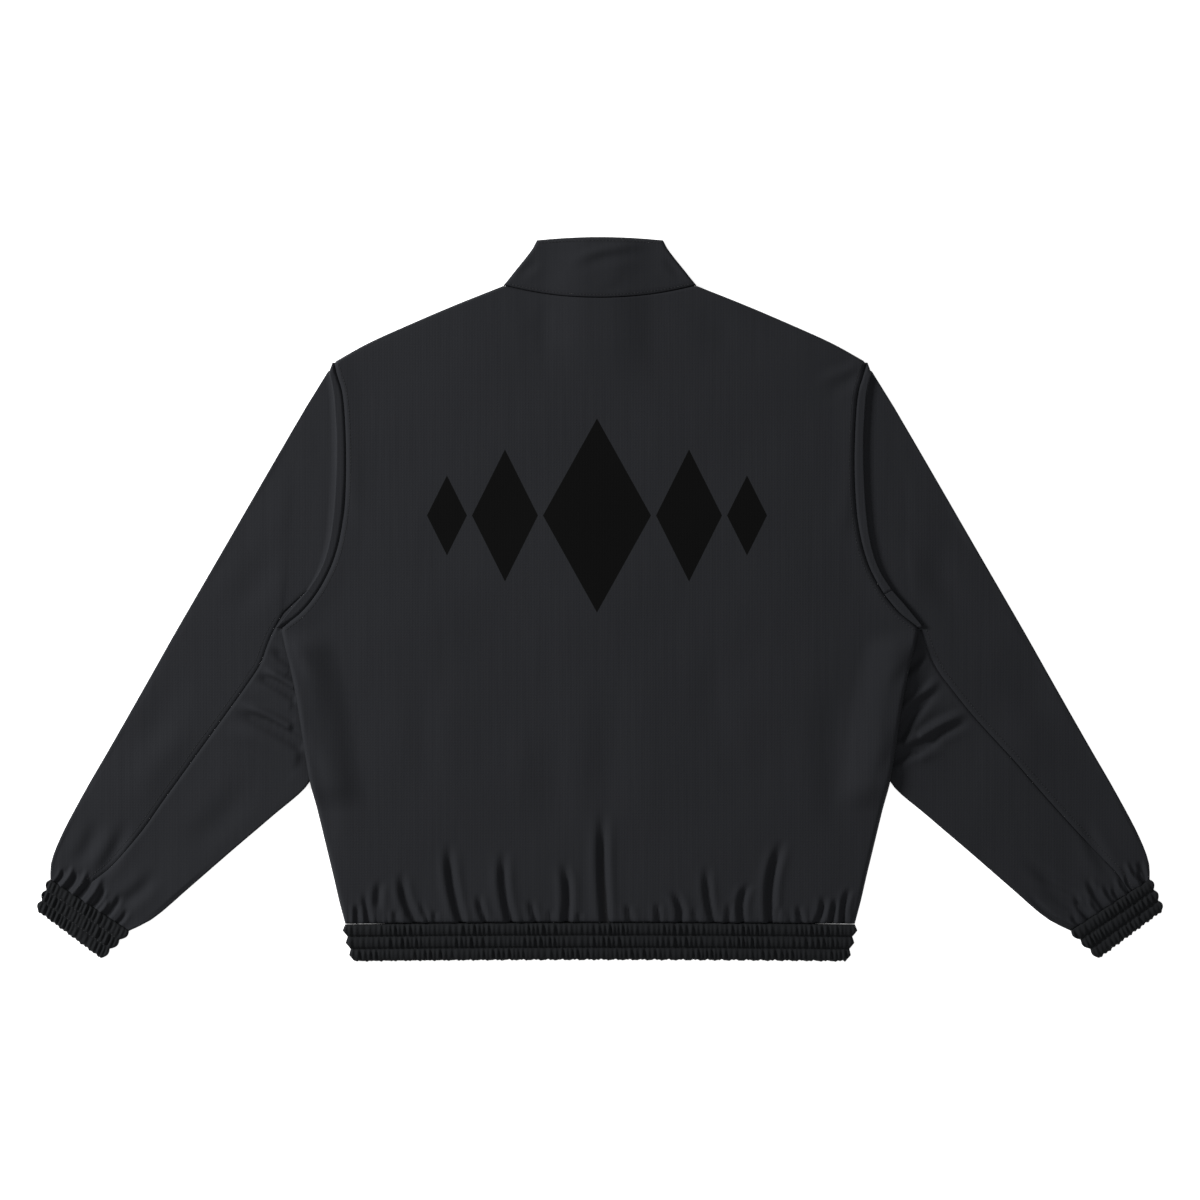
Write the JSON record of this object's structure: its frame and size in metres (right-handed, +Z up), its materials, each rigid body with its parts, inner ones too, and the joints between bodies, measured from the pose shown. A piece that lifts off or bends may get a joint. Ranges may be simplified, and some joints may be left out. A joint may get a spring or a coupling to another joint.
{
  "type": "track jacket",
  "caption": "Zipped track jacket with a stand collar, gathered hem band and cuffs, laid flat on its front with its back up and sleeves spread.",
  "frame": {"origin": "on the surface that the jacket lies on, under the middle of its outline", "axes": "+Z up out of the jacket's back, +Y from the hem to the collar, +X across the jacket towards the wearer's right sleeve, seen from behind"},
  "size_m": [1.1248, 0.725, 0.0133],
  "materials": {
    "shell_cloth": "matt plain weave, charcoal black",
    "band_cloth": "gathered matt weave, black",
    "zip_tape": "black woven tape with a nylon coil",
    "zip_metal": "black enamelled zinc"
  },
  "bodies": {
    "jacket": {"back": "shell_cloth", "front_left": "shell_cloth", "front_right": "shell_cloth", "collar": "shell_cloth", "hem_band": "band_cloth", "sleeve_upper_left": "shell_cloth", "sleeve_under_left": "shell_cloth", "sleeve_upper_right": "shell_cloth", "sleeve_under_right": "shell_cloth", "cuff_left": "band_cloth", "cuff_right": "band_cloth", "zip": "zip_tape", "zip_slider": "zip_metal"},
    "pull": {"zip_pull": "zip_metal"}
  },
  "joints": [
    {"name": "zip_pull_tilt", "type": "hinge", "parent": "jacket", "child": "pull", "pos_m": [0, 0.302, 0.00235], "axis": [1, 0, 0], "range_deg": [0, 170]}
  ]
}
